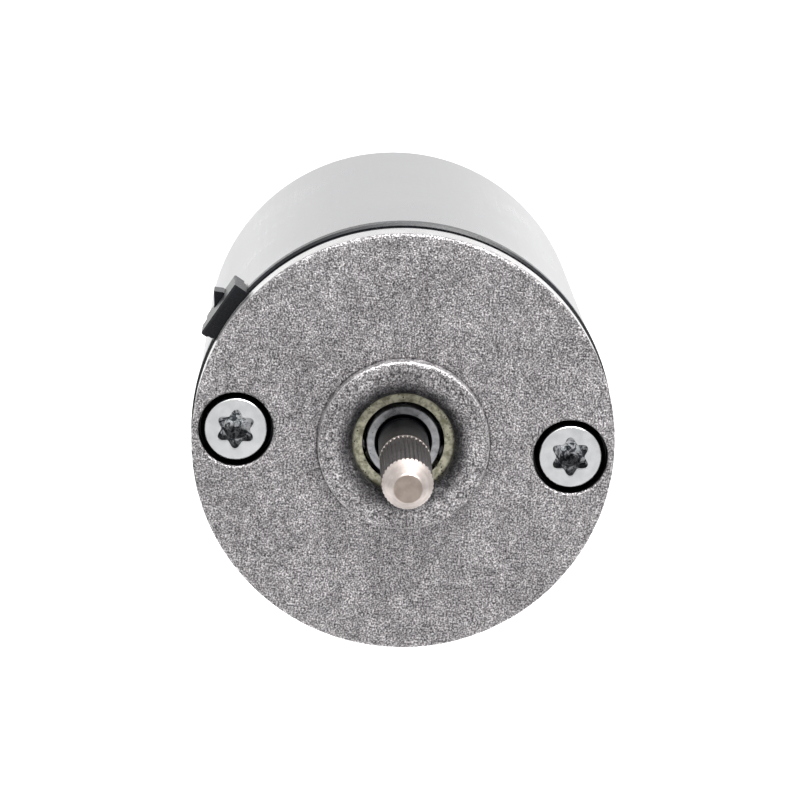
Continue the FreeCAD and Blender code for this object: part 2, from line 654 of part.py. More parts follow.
put("motor_shaft", motor_shaft())
put("motor_front_bush", rev([(MOTOR_SHAFT_R + 0.02, 14.8), (4.0, 14.8), (4.0, 18.4), (5.0, 18.4), (5.0, 19.2), (MOTOR_SHAFT_R + 0.02, 19.2)]))
put("motor_rear_bush", rear_bush())
put("rear_bush_clip", rear_bush_clip())
put("rotor_thrust_washers", Part.makeCompound([tube(MOTOR_SHAFT_R + 0.01, 3.6, 19.35, 19.75), tube(MOTOR_SHAFT_R + 0.01, 3.6, 55.4, 55.8)]))
put("commutator_hub", commutator_hub())
put("commutator_segments", commutator_segments())
put("armature_core", core_shape(CORE_Y0, CORE_Y1))
put("armature_insulators", Part.makeCompound([core_shape(CORE_Y0 - 0.8, CORE_Y0), core_shape(CORE_Y1, CORE_Y1 + 0.8)]))
put("armature_windings", armature_windings())
put("magnet_upper", magnet(90.0))
put("magnet_lower", magnet(270.0))
put("brush_card", brush_card())
put("brush_card_screws", brush_card_screws())
bh = brush_holder()
put("brush_holder_upper", bh)
put("brush_holder_lower", mirrored_z(bh))
b = brush()
put("carbon_brush_upper", b)
put("carbon_brush_lower", mirrored_z(b))
sp = brush_spring()
put("brush_spring_upper", sp)
put("brush_spring_lower", mirrored_z(sp))

box = FreeCAD.BoundBox()
for s in WRITTEN.values():
    box.add(s.BoundBox)
print("%d nodes, box X %.2f..%.2f Y %.2f..%.2f Z %.2f..%.2f" % (len(WRITTEN), box.XMin, box.XMax, box.YMin, box.YMax, box.ZMin, box.ZMax))
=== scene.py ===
"""Looks for the round gearmotor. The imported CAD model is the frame; everything is in metres in its frame:
shaft axis on Y, tip towards -Y, front face in the plane y = 0, cover screws on the X axis, Z up."""
import json
import math
import bmesh
import bpy
from mathutils import Matrix, Vector, noise


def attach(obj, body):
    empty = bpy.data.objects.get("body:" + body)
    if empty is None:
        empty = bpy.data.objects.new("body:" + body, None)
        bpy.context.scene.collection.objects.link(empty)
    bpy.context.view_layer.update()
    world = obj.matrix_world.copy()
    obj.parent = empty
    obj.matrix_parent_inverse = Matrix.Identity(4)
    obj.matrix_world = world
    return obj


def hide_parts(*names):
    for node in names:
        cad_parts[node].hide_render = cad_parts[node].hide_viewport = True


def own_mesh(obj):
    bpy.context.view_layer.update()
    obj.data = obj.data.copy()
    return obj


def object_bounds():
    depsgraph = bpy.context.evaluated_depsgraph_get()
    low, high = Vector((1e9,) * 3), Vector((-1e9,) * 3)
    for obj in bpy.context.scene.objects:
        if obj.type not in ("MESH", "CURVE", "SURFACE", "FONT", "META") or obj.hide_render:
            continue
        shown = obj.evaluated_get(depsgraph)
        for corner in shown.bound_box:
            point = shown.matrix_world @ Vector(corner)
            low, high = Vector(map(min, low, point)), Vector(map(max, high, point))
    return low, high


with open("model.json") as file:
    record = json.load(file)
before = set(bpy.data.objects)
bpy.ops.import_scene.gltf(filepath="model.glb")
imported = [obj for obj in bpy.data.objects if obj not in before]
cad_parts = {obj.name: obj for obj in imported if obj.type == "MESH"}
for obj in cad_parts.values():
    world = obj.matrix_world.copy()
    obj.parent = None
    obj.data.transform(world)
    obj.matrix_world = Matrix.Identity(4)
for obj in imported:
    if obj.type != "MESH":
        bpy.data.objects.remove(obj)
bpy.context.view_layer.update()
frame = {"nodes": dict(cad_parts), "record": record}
MM = 0.001
scene = bpy.context.scene


# ------------------------------------------------------------------ camera
def camera():
    pitch, yaw, roll = math.radians(11.8), math.radians(1.23), math.radians(5.12)
    fwd = Vector((math.sin(yaw) * math.cos(pitch), math.cos(yaw) * math.cos(pitch), -math.sin(pitch)))
    right = Vector((math.cos(yaw), -math.sin(yaw), 0.0))
    up = right.cross(fwd)
    loc = -(right * 0.3366 - up * 4.30 + fwd * 356.0) * MM
    spin = Matrix.Rotation(-roll, 4, "Y")      # anticlockwise as seen from the front
    rot = Matrix((right, up, -fwd)).transposed().to_4x4()
    cam = bpy.data.objects.new("camera", bpy.data.cameras.new("camera"))
    scene.collection.objects.link(cam)
    cam.matrix_world = spin @ Matrix.Translation(loc) @ rot
    cam.data.sensor_width = 36.0
    cam.data.lens = 36.0 * 3596.0 / 800.0
    cam.data.clip_start, cam.data.clip_end = 0.01, 20.0
    scene.camera = cam
    return cam


cam = camera()


# ------------------------------------------------------------------ node helpers
class Mat:
    def __init__(self, name, metallic=0.0, roughness=0.5, color=(0.5, 0.5, 0.5)):
        self.m = bpy.data.materials.new(name)
        self.m.use_nodes = True
        self.t = self.m.node_tree
        self.t.nodes.clear()
        out = self.t.nodes.new("ShaderNodeOutputMaterial")
        self.b = self.t.nodes.new("ShaderNodeBsdfPrincipled")
        self.t.links.new(self.b.outputs[0], out.inputs[0])
        self.b.inputs["Metallic"].default_value = metallic
        self.b.inputs["Roughness"].default_value = roughness
        self.b.inputs["Base Color"].default_value = (*color, 1)
        self.co = self.t.nodes.new("ShaderNodeTexCoord").outputs["Object"]
        self.m.diffuse_color = (*color, 1)

    def put(self, socket, value):
        if isinstance(value, bpy.types.NodeSocket):
            self.t.links.new(value, socket)
        else:
            socket.default_value = value

    def mapping(self, scale=(1, 1, 1), rot=(0, 0, 0), src=None):
        n = self.t.nodes.new("ShaderNodeMapping")
        self.put(n.inputs["Vector"], src or self.co)
        n.inputs["Scale"].default_value = scale
        n.inputs["Rotation"].default_value = rot
        return n.outputs[0]

    def noise(self, scale, detail=2.0, rough=0.5, vec=None, distortion=0.0):
        n = self.t.nodes.new("ShaderNodeTexNoise")
        self.put(n.inputs["Vector"], vec or self.co)
        n.inputs["Scale"].default_value = scale
        n.inputs["Detail"].default_value = detail
        n.inputs["Roughness"].default_value = rough
        n.inputs["Distortion"].default_value = distortion
        return n.outputs["Fac"]

    def voronoi(self, scale, feature="F1", vec=None, rnd=1.0):
        n = self.t.nodes.new("ShaderNodeTexVoronoi")
        n.feature = feature
        self.put(n.inputs["Vector"], vec or self.co)
        n.inputs["Scale"].default_value = scale
        n.inputs["Randomness"].default_value = rnd
        return n.outputs["Distance"]

    def math(self, op, a, b=0.0, c=0.0):
        n = self.t.nodes.new("ShaderNodeMath")
        n.operation = op
        for s, v in zip(n.inputs, (a, b, c)):
            self.put(s, v)
        return n.outputs[0]

    def span(self, v, a, b, c=0.0, d=1.0, smooth=True):
        n = self.t.nodes.new("ShaderNodeMapRange")
        n.interpolation_type = "SMOOTHSTEP" if smooth else "LINEAR"
        for k, x in zip(("Value", "From Min", "From Max", "To Min", "To Max"), (v, a, b, c, d)):
            self.put(n.inputs[k], x)
        return n.outputs[0]

    def ramp(self, fac, stops):
        n = self.t.nodes.new("ShaderNodeValToRGB")
        e = n.color_ramp.elements
        while len(e) < len(stops):
            e.new(0.5)
        for k, (p, c) in zip(e, stops):
            k.position = p
            k.color = (*((c, c, c) if isinstance(c, float) else c), 1)
        self.put(n.inputs[0], fac)
        return n.outputs[0]

    def mix(self, fac, a, b, mode="MIX"):
        n = self.t.nodes.new("ShaderNodeMix")
        n.data_type = "RGBA"
        n.blend_type = mode
        self.put(n.inputs[0], fac)
        for s, v in ((n.inputs[6], a), (n.inputs[7], b)):
            self.put(s, v if isinstance(v, bpy.types.NodeSocket) else (*v, 1))
        return n.outputs[2]

    def xyz(self):
        n = self.t.nodes.new("ShaderNodeSeparateXYZ")
        self.put(n.inputs[0], self.co)
        return n.outputs

    def radius(self):
        x, y, z = self.xyz()
        return self.math("SQRT", self.math("ADD", self.math("MULTIPLY", x, x), self.math("MULTIPLY", z, z)))

    def angle(self):
        x, y, z = self.xyz()
        return self.math("ARCTAN2", z, x)

    def bump(self, height, strength, distance, normal=None):
        n = self.t.nodes.new("ShaderNodeBump")
        n.inputs["Strength"].default_value = strength
        n.inputs["Distance"].default_value = distance
        self.put(n.inputs["Height"], height)
        if normal is not None:
            self.put(n.inputs["Normal"], normal)
        return n.outputs[0]

    def color(self, v):
        self.put(self.b.inputs["Base Color"], v)

    def rough(self, v):
        self.put(self.b.inputs["Roughness"], v)

    def normal(self, v):
        self.put(self.b.inputs["Normal"], v)


# ------------------------------------------------------------------ materials
def cast_blasted():
    k = Mat("cast_blasted", 0.9, 0.5, (0.40, 0.395, 0.39))
    grain = k.noise(5700, 1.5, 0.6)
    mid = k.noise(1500, 3, 0.65)
    big = k.noise(95, 4, 0.6)
    f = k.math("ADD", k.math("MULTIPLY", grain, 0.72), k.math("MULTIPLY", mid, 0.28))
    tone = k.ramp(f, [(0.35, (0.060, 0.057, 0.060)), (0.45, (0.215, 0.206, 0.210)), (0.52, (0.405, 0.389, 0.394)), (0.63, (0.84, 0.815, 0.82))])
    blotch = k.math("MULTIPLY", k.span(big, 0.3, 0.7, 0.86, 1.10), k.span(k.noise(430, 2, 0.6), 0.3, 0.7, 0.84, 1.14))
    # painted shade in the corner of the opening round the bearing, mottled and darkest at the opening
    r = k.radius()
    ring = k.span(r, 0.0057, 0.0070, 1.0, 0.0)
    ring = k.math("MULTIPLY", ring, k.span(k.noise(900, 3), 0.25, 0.6, 0.70, 1.0))
    # painted shade in the step at the foot of the boss, and a painted highlight along the boss's rounded edge
    rw = k.math("ADD", r, k.math("MULTIPLY", k.math("SUBTRACT", k.noise(520, 2), 0.5), 0.00008))
    foot_shade = k.math("MULTIPLY", k.span(rw, 0.00849, 0.00855), k.span(rw, 0.00863, 0.00871, 1.0, 0.0))
    edge_highlight = k.math("MULTIPLY", k.span(rw, 0.00832, 0.00840), k.span(rw, 0.00844, 0.00850, 1.0, 0.0))
    tone = k.mix(1.0, tone, k.mix(k.span(blotch, 0, 2, 0, 1, False), (0, 0, 0), (2, 2, 2)), "MULTIPLY")
    tone = k.mix(k.math("MULTIPLY", edge_highlight, 0.35), tone, (0.80, 0.78, 0.78))
    tone = k.mix(k.math("MULTIPLY", foot_shade, 0.62), tone, (0.06, 0.058, 0.062))
    tone = k.mix(k.math("MULTIPLY", ring, 0.86), tone, (0.03, 0.029, 0.032))
    k.color(tone)
    k.rough(k.span(mid, 0.3, 0.7, 0.42, 0.60))
    n = k.bump(mid, 0.35, 0.00012)
    k.normal(k.bump(grain, 0.95, 0.00013, n))
    return k.m


def turned_wall():
    k = Mat("turned_wall", 1.0, 0.22, (0.86, 0.85, 0.84))
    lines = k.noise(1.0, 3, 0.6, k.mapping((90, 9000, 90)))
    spots = k.noise(700, 3, 0.6)
    k.color(k.mix(k.span(spots, 0.35, 0.7), (0.74, 0.73, 0.725), (0.86, 0.85, 0.845)))
    k.rough(k.span(lines, 0.3, 0.7, 0.2, 0.36))
    k.normal(k.bump(lines, 0.25, 0.00001))
    return k.m


def plated_can():
    k = Mat("plated_can", 1.0, 0.3, (0.66, 0.66, 0.67))
    draw = k.noise(1.0, 3, 0.6, k.mapping((2600, 34, 2600)))
    cloud = k.noise(70, 4, 0.6)
    spangle = k.noise(1400, 2, 0.5)
    tone = k.mix(k.span(cloud, 0.3, 0.7), (0.485, 0.485, 0.495), (0.535, 0.535, 0.54))
    tone = k.mix(k.math("MULTIPLY", k.span(draw, 0.35, 0.65), 0.12), tone, (0.63, 0.63, 0.63))
    k.color(tone)
    rr = k.math("ADD", k.span(cloud, 0.3, 0.7, 0.27, 0.33), k.math("MULTIPLY", k.math("SUBTRACT", draw, 0.5), 0.10))
    k.rough(k.math("ADD", rr, k.math("MULTIPLY", k.math("SUBTRACT", spangle, 0.5), 0.06)))
    n = k.bump(draw, 0.08, 0.00001)
    k.normal(k.bump(spangle, 0.012, 0.00002, n))
    return k.m


def black_plastic():
    k = Mat("black_plastic", 0.0, 0.42, (0.012, 0.013, 0.017))
    fine = k.noise(5200, 3, 0.6)
    soft = k.noise(260, 3, 0.5)
    k.color(k.mix(k.span(soft, 0.3, 0.7), (0.0028, 0.0032, 0.0046), (0.0060, 0.0068, 0.0098)))
    k.rough(k.span(fine, 0.3, 0.7, 0.25, 0.37))
    k.b.inputs["Specular IOR Level"].default_value = 0.34
    k.normal(k.bump(fine, 0.25, 0.00002))
    return k.m


def metal(name, a, b, r0, r1, scale=900, lines=None, bump=0.1, metallic=1.0, dist=0.00001):
    """Metal with two tones in a cloud, and optional fine tool lines given as a mapping scale."""
    k = Mat(name, metallic, (r0 + r1) / 2, a)
    cloud = k.noise(scale, 3, 0.6)
    k.color(k.mix(k.span(cloud, 0.3, 0.7), a, b))
    tex = k.noise(1.0, 3, 0.6, k.mapping(lines)) if lines else k.noise(scale * 6, 2, 0.5)
    k.rough(k.span(k.math("ADD", k.math("MULTIPLY", cloud, 0.5), k.math("MULTIPLY", tex, 0.5)), 0.35, 0.65, r0, r1))
    k.normal(k.bump(tex, bump, dist))
    return k.m


def dull(name, a, b, r0, r1, scale=1500, bump=0.2, dist=0.00003):
    k = Mat(name, 0.0, (r0 + r1) / 2, a)
    n1 = k.noise(scale, 3, 0.6)
    n2 = k.noise(scale / 9, 3, 0.6)
    k.color(k.mix(k.span(k.math("ADD", k.math("MULTIPLY", n1, 0.5), k.math("MULTIPLY", n2, 0.5)), 0.35, 0.65), a, b))
    k.rough(k.span(n2, 0.3, 0.7, r0, r1))
    k.normal(k.bump(n1, bump, dist))
    return k.m


def shield():
    """Sheet shield: olive, greasy, with small dark specks."""
    k = Mat("bearing_shield", 0.75, 0.38, (0.50, 0.48, 0.36))
    cloud = k.noise(1500, 4, 0.6)
    tone = k.mix(k.span(cloud, 0.36, 0.62), (0.25, 0.24, 0.165), (0.66, 0.64, 0.49))
    # painted shade: the shield darkens towards its outer edge, where the opening shadows it
    tone = k.mix(k.span(k.radius(), 0.00475, 0.00512, 0.0, 0.75), tone, (0.045, 0.043, 0.038))
    speck = k.span(k.voronoi(2600), 0.14, 0.26, 1.0, 0.0)
    some = k.span(k.noise(900, 1), 0.46, 0.54)
    k.color(k.mix(k.math("MULTIPLY", speck, some), tone, (0.03, 0.03, 0.028)))
    k.rough(k.span(cloud, 0.3, 0.7, 0.28, 0.46))
    k.normal(k.bump(cloud, 0.15, 0.00002))
    return k.m


def ground_ring():
    k = Mat("ground_ring", 0.95, 0.3, (0.55, 0.555, 0.57))
    r = k.radius()
    rings = k.math("SINE", k.math("MULTIPLY", r, 90000.0))
    cloud = k.noise(1300, 3, 0.6)
    tone = k.mix(k.span(cloud, 0.3, 0.7), (0.33, 0.333, 0.342), (0.58, 0.585, 0.60))
    # painted shade: the inner ring goes nearly black at its bore, where the gap to the shaft is in shadow
    tone = k.mix(k.span(r, 0.00283, 0.00292, 1.0, 0.0), tone, (0.012, 0.012, 0.014))
    speck = k.span(k.voronoi(2600), 0.08, 0.16, 1.0, 0.0)
    k.color(k.mix(k.math("MULTIPLY", speck, k.span(k.noise(900, 1), 0.49, 0.55)), tone, (0.02, 0.02, 0.02)))
    k.rough(k.span(cloud, 0.3, 0.7, 0.26, 0.42))
    k.normal(k.bump(rings, 0.05, 0.000004))
    return k.m


def shaft_steel():
    """Dark turned steel with lighter cut crests, painted shade towards the bearing and a painted highlight along the
    start of the serrations; the conical lead-in is bright, and the sawn end is warm grey.
    """
    k = Mat("shaft_steel", 1.0, 0.32, (0.30, 0.29, 0.29))
    x, y, z = k.xyz()
    r = k.radius()
    turn = k.noise(1.0, 3, 0.6, k.mapping((60, 14000, 60)))
    cloud = k.noise(1200, 3, 0.6)
    dark = k.mix(k.span(cloud, 0.3, 0.7), (0.115, 0.108, 0.112), (0.17, 0.16, 0.164))
    # painted shade: the smooth shaft goes darker towards the bearing
    dark = k.mix(k.span(y, -0.0062, -0.0025), dark, (0.022, 0.0225, 0.027))
    crest = k.mix(k.span(cloud, 0.3, 0.7), (0.17, 0.157, 0.159), (0.23, 0.214, 0.214))
    valley = k.span(r, 0.00239, 0.00247)
    knurl = k.span(y, -0.0074, -0.0080)
    body = k.mix(k.math("MULTIPLY", valley, knurl), dark, crest)
    # painted highlight: a bright band along the start of the serrations
    start = k.math("MULTIPLY", k.span(y, -0.00738, -0.00755), k.span(y, -0.00775, -0.00805, 1.0, 0.0))
    body = k.mix(k.math("MULTIPLY", start, 0.9), body, (0.98, 0.90, 0.83))
    cone = k.span(y, -0.01735, -0.01765)
    body = k.mix(cone, body, k.mix(k.span(cloud, 0.3, 0.7), (0.515, 0.455, 0.425), (0.64, 0.575, 0.54)))
    end = k.math("MULTIPLY", k.span(y, -0.01970, -0.01978), k.span(r, 0.00132, 0.00140, 1.0, 0.0))
    k.color(k.mix(end, body, k.mix(k.span(cloud, 0.3, 0.7), (0.41, 0.342, 0.296), (0.50, 0.427, 0.375))))
    k.rough(k.math("ADD", k.span(turn, 0.3, 0.7, 0.26, 0.40), k.math("MULTIPLY", cone, 0.14)))
    k.normal(k.bump(turn, 0.12, 0.000008))
    return k.m


def zinc_screw():
    k = Mat("zinc_screw", 1.0, 0.2, (0.84, 0.845, 0.85))
    cloud = k.noise(900, 4, 0.6)
    dent = k.noise(2600, 2, 0.5)
    tone = k.mix(k.span(cloud, 0.3, 0.7), (0.72, 0.73, 0.735), (0.86, 0.865, 0.87))
    # painted shade in the socket, deeper down darker and mottled with painted glints, and painted shade on the shoulder
    # under the flat top
    x, y, z = k.xyz()
    px = k.math("SUBTRACT", k.math("ABSOLUTE", x), 0.01665)
    rs = k.math("SQRT", k.math("ADD", k.math("MULTIPLY", px, px), k.math("MULTIPLY", z, z)))
    inside = k.math("MULTIPLY", k.span(rs, 0.0019, 0.0021, 1.0, 0.0), k.span(y, 0.0030, 0.0031, 1.0, 0.0))
    deep = k.math("MULTIPLY", inside, k.span(y, 0.00022, 0.00045))
    socket_shade_glints = k.mix(k.span(k.noise(1500, 3, 0.6, distortion=1.5), 0.42, 0.56), (0.045, 0.05, 0.056), (0.42, 0.43, 0.44))
    tone = k.mix(deep, tone, socket_shade_glints)
    shoulder_shade = k.math("MULTIPLY", k.span(rs, 0.00302, 0.00310), k.span(y, 0.0030, 0.0031, 1.0, 0.0))
    tone = k.mix(shoulder_shade, tone, (0.022, 0.023, 0.028))
    k.color(tone)
    k.rough(k.span(cloud, 0.3, 0.7, 0.14, 0.27))
    k.normal(k.bump(dent, 0.12, 0.00002))
    return k.m


def windings():
    k = Mat("copper_windings", 0.9, 0.25, (0.62, 0.26, 0.12))
    x, y, z = k.xyz()
    r = k.radius()
    w = k.math("SINE", k.math("MULTIPLY", r, 2 * math.pi / 0.00038))
    k.color(k.mix(k.span(w, -1, 1), (0.36, 0.12, 0.05), (0.80, 0.36, 0.17)))
    k.rough(k.span(k.noise(900, 2), 0.3, 0.7, 0.18, 0.34))
    k.normal(k.bump(w, 0.6, 0.00008))
    return k.m


def laminations():
    k = Mat("laminations", 1.0, 0.4, (0.42, 0.42, 0.44))
    x, y, z = k.xyz()
    w = k.math("SINE", k.math("MULTIPLY", y, 2 * math.pi / 0.0005))
    k.color(k.mix(k.span(w, -1, 1), (0.20, 0.20, 0.21), (0.55, 0.55, 0.57)))
    k.rough(k.span(k.noise(900, 2), 0.3, 0.7, 0.32, 0.48))
    k.normal(k.bump(w, 0.4, 0.00004))
    return k.m


LIB = {
    "die_cast": cast_blasted(),
    "plated_can": plated_can(),
    "black_plastic": black_plastic(),
    "zinc_screw": zinc_screw(),
    "bearing_steel": ground_ring(),
    "bearing_ball": metal("bearing_ball", (0.82, 0.82, 0.84), (0.90, 0.90, 0.92), 0.04, 0.08, 1500, bump=0.02),
    "bearing_shield": shield(),
    "shaft_steel": shaft_steel(),
    "gear_steel": metal("gear_steel", (0.46, 0.46, 0.47), (0.60, 0.60, 0.61), 0.24, 0.40, 1100, (90, 9000, 90)),
    "sintered_steel": metal("sintered_steel", (0.20, 0.20, 0.21), (0.34, 0.34, 0.35), 0.45, 0.62, 2400, bump=0.5, dist=0.00004),
    "sintered_bronze": metal("sintered_bronze", (0.48, 0.31, 0.15), (0.66, 0.46, 0.25), 0.40, 0.58, 2400, bump=0.5, dist=0.00004),
    "planet_polymer": dull("planet_polymer", (0.74, 0.71, 0.62), (0.82, 0.79, 0.71), 0.34, 0.46),
    "contact_brass": metal("contact_brass", (0.74, 0.70, 0.60), (0.84, 0.80, 0.70), 0.22, 0.38, 1100, (5000, 90, 5000)),
    "copper": windings(),
    "lamination": laminations(),
    "insulator": dull("insulator", (0.03, 0.16, 0.10), (0.05, 0.22, 0.14), 0.34, 0.48),
    "ferrite": dull("ferrite", (0.022, 0.022, 0.025), (0.05, 0.05, 0.054), 0.45, 0.65, bump=0.4),
    "card": dull("card", (0.20, 0.085, 0.03), (0.30, 0.14, 0.055), 0.40, 0.55, 900),
    "carbon": dull("carbon", (0.012, 0.012, 0.014), (0.03, 0.03, 0.034), 0.42, 0.6, 3000, 0.3),
    "spring_steel": metal("spring_steel", (0.62, 0.62, 0.64), (0.74, 0.74, 0.76), 0.18, 0.30, 1100, (90, 9000, 90)),
}
LIB["commutator"] = metal("commutator_copper", (0.66, 0.30, 0.16), (0.80, 0.42, 0.25), 0.2, 0.34, 1100, (90, 9000, 90))
WALL = turned_wall()
# painted shade: a near-black material for the shadow deep in the counterbores
BORE_SHADE = metal("counterbore_shade", (0.05, 0.05, 0.053), (0.10, 0.10, 0.105), 0.38, 0.5, 1100, (90, 9000, 90))

slot_of = {s["node"]: s["material_slot"] for s in frame["record"]["subparts"]}
for name, o in frame["nodes"].items():
    m = LIB[slot_of[name]]
    if name == "commutator_segments":
        m = LIB["commutator"]
    o.data.materials.clear()
    o.data.materials.append(m)
    for p in o.data.polygons:
        p.use_smooth = True


# ------------------------------------------------------------------ mesh helpers
def arc_pts(c, r, a0, a1, n):
    """Points on an arc about c in (radius, y), angles in degrees from the radius axis."""
    return [(c[0] + r * math.cos(math.radians(a0 + (a1 - a0) * i / n)), c[1] + r * math.sin(math.radians(a0 + (a1 - a0) * i / n))) for i in range(n + 1)]


def revolve(profile, n):
    """Closed (radius, y) profile in mm, turned about Y. Returns a bmesh in mm."""
    bm = bmesh.new()
    rings = []
    for r, y in profile:
        if r < 1e-6:
            rings.append([bm.verts.new((0, y, 0))])
        else:
            rings.append([bm.verts.new((r * math.cos(2 * math.pi * i / n), y, r * math.sin(2 * math.pi * i / n))) for i in range(n)])
    for a, b in zip(rings, rings[1:] + rings[:1]):
        if len(a) == 1 and len(b) == 1:
            continue
        for i in range(n):
            j = (i + 1) % n
            if len(a) == 1:
                bm.faces.new((a[0], b[j], b[i]))
            elif len(b) == 1:
                bm.faces.new((a[i], a[j], b[0]))
            else:
                bm.faces.new((a[i], a[j], b[j], b[i]))
    bmesh.ops.recalc_face_normals(bm, faces=bm.faces)
    return bm


def to_object(name, bm, mats, angle=35):
    me = bpy.data.meshes.new(name)
    bm.to_mesh(me)
    bm.free()
    for m in mats:
        me.materials.append(m)
    for p in me.polygons:
        p.use_smooth = True
    me.set_sharp_from_angle(angle=math.radians(angle))
    o = bpy.data.objects.new(name, me)
    scene.collection.objects.link(o)
    return o


def cut(target, tool_bm):
    """Subtracts a closed bmesh (in the target's units) from a target object."""
    me = bpy.data.meshes.new("tool")
    tool_bm.to_mesh(me)
    tool_bm.free()
    tool = bpy.data.objects.new("tool", me)
    scene.collection.objects.link(tool)
    mod = target.modifiers.new("cut", "BOOLEAN")
    mod.operation, mod.object = "DIFFERENCE", tool
    mod.solver = "EXACT"
    dg = bpy.context.evaluated_depsgraph_get()
    new = bpy.data.meshes.new_from_object(target.evaluated_get(dg))
    target.modifiers.clear()
    old = target.data
    target.data = new
    bpy.data.meshes.remove(old)
    bpy.data.objects.remove(tool)
    bpy.data.meshes.remove(me)


# ------------------------------------------------------------------ front cover as cast
R, SCREW_X, RIM_Y = 21.0, 16.65, 3.6


def cover_casting():
    seg = 720
    prof = [(5.1, 0.5), (5.1, 0.2), (5.1, -0.15)]
    prof += [(5.12, -0.30), (5.19, -0.50), (5.31, -0.72), (5.47, -0.94), (5.66, -1.07), (5.88, -1.16), (6.18, -1.215), (6.55, -1.245)]
    prof += [(6.8 + 0.2 * i, -1.27 - 0.02 * i) for i in range(6)]
    prof += arc_pts((8.1, -1.0), 0.4, -90, 0, 6)
    prof += [(8.5, -0.7), (8.5, -0.4), (8.5, -0.1), (8.52, 0.02), (8.6, 0.05), (8.68, 0.02), (8.76, 0.0)]
    r = 9.0
    while r < 20.55:
        prof.append((r, 0.0))
        r += 0.3
    prof += arc_pts((20.7, 0.3), 0.3, -90, 0, 5)
    prof += [(21.0, 0.8), (21.0, 1.6), (21.0, 2.4), (21.0, RIM_Y - 0.1), (20.9, RIM_Y), (19.0, RIM_Y), (19.0, 6.0), (14.0, 6.0), (14.0, 3.0), (10.3, 3.0), (10.3, 6.0), (8.0, 6.0), (8.0, 0.5)]
    o = to_object("cover_casting", revolve(prof, seg), [LIB["die_cast"], WALL, BORE_SHADE])
    for sx in (1, -1):
        flare = [(0, -2.0), (4.1, -2.0), (4.1, -0.3), (3.98, -0.06), (3.86, 0.02), (3.77, 0.10), (3.71, 0.22), (3.7, 0.4), (3.7, 2.5), (2.2, 2.5), (2.2, 8.0), (0, 8.0)]
        t = revolve(flare, 120)
        bmesh.ops.translate(t, verts=t.verts, vec=(sx * SCREW_X, 0, 0))
        cut(o, t)
    me = o.data
    for p in me.polygons:
        c, n = p.center, p.normal
        rad = math.hypot(c.x, c.z)
        side = rad > 20.6 and c.y > 0.42
        near = min(math.hypot(c.x - SCREW_X, c.z), math.hypot(c.x + SCREW_X, c.z))
        # faces deep in the counterbores take the painted-shade material
        p.material_index = 2 if near < 3.73 and c.y > 0.2 else 1 if side or c.y > 2.9 else 0
        p.use_smooth = True
    # the skin of a casting is never quite flat, and its edge wanders a little
    for v in me.vertices:
        x, y, z = v.co
        rad = math.hypot(x, z)
        if y < 0.35 and rad > 5.6:
            low = noise.noise(Vector((x * 0.22, 1.7, z * 0.22)))
            mid = noise.noise(Vector((x * 0.9, 5.1, z * 0.9)))
            fine = noise.noise(Vector((x * 3.4, 8.3 + y, z * 3.4)))
            edge = 1.0 if rad < 20.3 else 0.6
            v.co.y += edge * (0.030 * low + 0.016 * mid + 0.012 * fine)
            if rad > 20.4:
                w = noise.noise(Vector((x * 1.6, 3.0, z * 1.6))) + 0.8 * noise.noise(Vector((x * 4.5, 2.0, z * 4.5)))
                k = 1 - 0.0022 * max(0.0, w)
                v.co.x *= k
                v.co.z *= k
                v.co.y += 0.05 * max(0.0, w)
            # two shallow flow marks left by casting
            for cx, cz, rr, d in ((18.8, 4.9, 1.5, 0.09), (17.6, -6.6, 1.3, 0.07), (-12.5, -11.0, 1.8, 0.03)):
                q = math.hypot(x - cx, z - cz) / rr
                if q < 1 and rad < 20.6:
                    v.co.y += d * (1 - q * q) ** 2 * (0.6 + 0.8 * noise.noise(Vector((x * 2.1, 4, z * 2.1))))
    me.transform(Matrix.Scale(MM, 4))
    me.set_sharp_from_angle(angle=math.radians(38))
    me.update()
    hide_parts("front_cover")
    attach(o, "stator")
    return o


cover = cover_casting()

# ------------------------------------------------------------------ stage and light
lo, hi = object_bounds()


def floor():
    m = Mat("floor_white", 0.0, 0.7, (0.86, 0.86, 0.86))
    x, y, z = m.xyz()
    near = m.mix(m.span(m.noise(4, 3), 0.3, 0.7), (0.54, 0.54, 0.545), (0.56, 0.56, 0.562))
    # painted light: behind and under the object the floor is paler and glows, which fills in the object's shadow on it
    wide = m.math("SUBTRACT", m.math("ABSOLUTE", x), m.math("MULTIPLY", y, 0.16))
    shadow_fill_glow = m.math("MULTIPLY", m.span(y, -0.03, 0.035), m.span(wide, 0.05, 0.16, 1.0, 0.0))
    m.color(m.mix(shadow_fill_glow, near, (0.89, 0.89, 0.89)))
    m.put(m.b.inputs["Emission Color"], m.mix(shadow_fill_glow, (0, 0, 0), (0.46, 0.46, 0.46)))
    m.b.inputs["Emission Strength"].default_value = 1.0
    me = bpy.data.meshes.new("floor")
    s, z = 3.0, lo.z - 0.03
    me.from_pydata([(-s, -s, z), (s, -s, z), (s, s, z), (-s, s, z)], [], [(0, 1, 2, 3)])
    me.materials.append(m.m)
    o = bpy.data.objects.new("floor", me)
    scene.collection.objects.link(o)


def area(name, loc, target, size, power, color=(1, 1, 1)):
    d = bpy.data.lights.new(name, "AREA")
    d.shape, d.size, d.size_y, d.energy, d.color = "RECTANGLE", size[0], size[1], power, color
    o = bpy.data.objects.new(name, d)
    scene.collection.objects.link(o)
    o.location = loc
    o.rotation_mode = "QUATERNION"
    o.rotation_quaternion = (Vector(target) - Vector(loc)).to_track_quat("-Z", "Y")
    return o


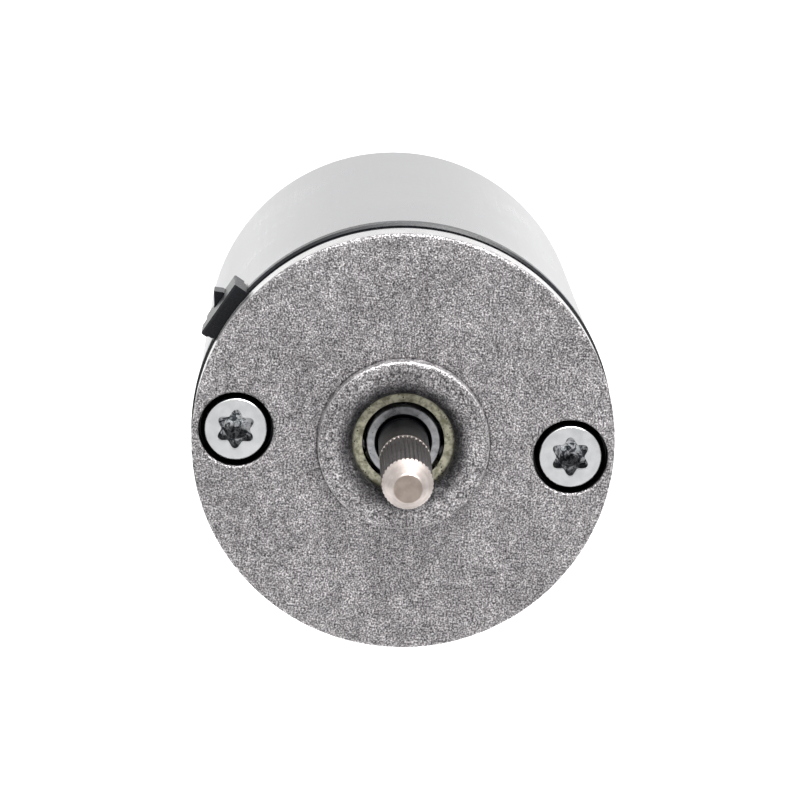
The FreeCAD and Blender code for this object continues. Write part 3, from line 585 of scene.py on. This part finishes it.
floor()
area("key_top", (-0.05, -0.10, 0.52), (0, 0.0, 0), (0.34, 0.34), 1.2)
area("key_near", (0.035, -0.050, 0.160), (0, 0.0, 0), (0.13, 0.09), 0.42)
sun = bpy.data.objects.new("soft_sun", bpy.data.lights.new("soft_sun", "SUN"))
scene.collection.objects.link(sun)
sun.data.energy, sun.data.angle = 0.35, math.radians(60)
sun.rotation_euler = (math.radians(18), math.radians(-10), 0)

world = bpy.data.worlds.new("studio")
scene.world = world
world.use_nodes = True
wt = world.node_tree
wt.nodes.clear()
wo = wt.nodes.new("ShaderNodeOutputWorld")
bg = wt.nodes.new("ShaderNodeBackground")
tc = wt.nodes.new("ShaderNodeTexCoord")
sep = wt.nodes.new("ShaderNodeSeparateXYZ")
wt.links.new(tc.outputs["Generated"], sep.inputs[0])


def wspan(value, a, b, c=0.0, d=1.0):
    n = wt.nodes.new("ShaderNodeMapRange")
    n.interpolation_type = "SMOOTHSTEP"
    wt.links.new(value, n.inputs["Value"])
    for q, v in (("From Min", a), ("From Max", b), ("To Min", c), ("To Max", d)):
        n.inputs[q].default_value = v
    return n.outputs[0]


def wmul(a, b):
    n = wt.nodes.new("ShaderNodeMath")
    n.operation = "MULTIPLY"
    wt.links.new(a, n.inputs[0])
    wt.links.new(b, n.inputs[1])
    return n.outputs[0]


# a dark room in front of the object, between the pale floor and the light overhead
dark = wmul(wmul(wspan(sep.outputs["Y"], -0.35, -0.75), wspan(sep.outputs["Z"], 0.0, 0.10)), wspan(sep.outputs["Z"], 0.56, 0.80, 1.0, 0.0))
mixw = wt.nodes.new("ShaderNodeMix")
mixw.data_type = "RGBA"
wt.links.new(dark, mixw.inputs[0])
back = wmul(wspan(sep.outputs["Y"], 0.3, 0.7), wmul(wspan(sep.outputs["Z"], 0.0, 0.17), wspan(sep.outputs["Z"], 0.40, 0.65, 1.0, 0.0)))
mixb = wt.nodes.new("ShaderNodeMix")
mixb.data_type = "RGBA"
wt.links.new(back, mixb.inputs[0])
mixb.inputs[6].default_value = (0.98, 0.98, 0.985, 1)
mixb.inputs[7].default_value = (0.86, 0.86, 0.865, 1)
low = wmul(wspan(sep.outputs["Y"], 0.2, 0.6), wspan(sep.outputs["Z"], 0.02, 0.19, 1.0, 0.0))
side = wt.nodes.new("ShaderNodeMix")
side.data_type = "RGBA"
wt.links.new(wspan(sep.outputs["X"], -0.25, 0.25), side.inputs[0])
side.inputs[6].default_value = (1.20, 1.20, 1.20, 1)
side.inputs[7].default_value = (1.42, 1.42, 1.42, 1)
mixl = wt.nodes.new("ShaderNodeMix")
mixl.data_type = "RGBA"
wt.links.new(low, mixl.inputs[0])
wt.links.new(mixb.outputs[2], mixl.inputs[6])
wt.links.new(side.outputs[2], mixl.inputs[7])
wt.links.new(mixl.outputs[2], mixw.inputs[6])
mixw.inputs[7].default_value = (0.07, 0.07, 0.075, 1)
wt.links.new(mixw.outputs[2], bg.inputs[0])
bg.inputs[1].default_value = 1.0
wt.links.new(bg.outputs[0], wo.inputs[0])

scene.view_settings.view_transform = "Standard"
scene.view_settings.look = "None"

# brush springs: each spring is copied into an object of its own on the stator, and its CAD node is hidden
for tag, out in (("upper", 1.0), ("lower", -1.0)):
    node = frame["nodes"]["brush_spring_" + tag]
    me = node.data.copy()
    me.transform(node.matrix_world)
    coil = bpy.data.objects.new("brush_coil_" + tag, me)
    scene.collection.objects.link(coil)
    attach(coil, "stator")
    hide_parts("brush_spring_" + tag)
    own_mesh(coil)
